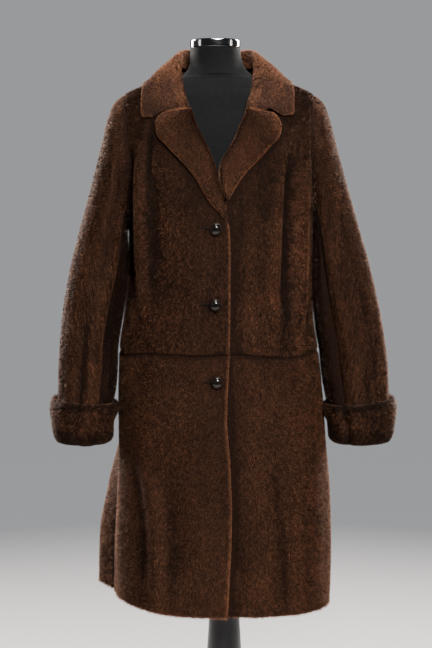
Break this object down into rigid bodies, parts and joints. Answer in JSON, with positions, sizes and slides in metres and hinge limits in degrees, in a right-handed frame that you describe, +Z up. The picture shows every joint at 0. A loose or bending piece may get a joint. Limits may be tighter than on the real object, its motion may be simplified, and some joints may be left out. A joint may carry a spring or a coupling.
{
  "type": "mink coat on a dress form",
  "caption": "Knee-length fur coat with a notched collar, rounded lapels, a waist seam and turned-back cuffs, buttoned on a limbless dress form on a round stand.",
  "frame": {"origin": "on the floor below the coat's middle, on the flat underside of the stand's round base", "axes": "+Z up along the coat's height, +X towards the wearer's left, and the coat's front faces -Y"},
  "size_m": [0.6564, 0.3534, 1.4953],
  "materials": {
    "fur": "sheared brown fur, velvety",
    "button": "glossy black dome with a pale metal rim",
    "jersey": "dark matt jersey",
    "cap": "polished",
    "stand": "satin black"
  },
  "bodies": {
    "root": {"front_bodice_right": "fur", "front_bodice_left": "fur", "back_bodice": "fur", "front_skirt_right": "fur", "front_skirt_left": "fur", "back_skirt": "fur", "sleeve_upper_right": "fur", "sleeve_under_right": "fur", "sleeve_upper_left": "fur", "sleeve_under_left": "fur", "cuff_right": "fur", "cuff_left": "fur", "collar": "fur", "lapel_right": "fur", "lapel_left": "fur", "button_top": "button", "button_middle": "button", "button_low": "button", "form_torso": "jersey", "form_neck_cap": "cap", "stand_pole": "stand", "stand_base": "stand"}
  },
  "joints": []
}
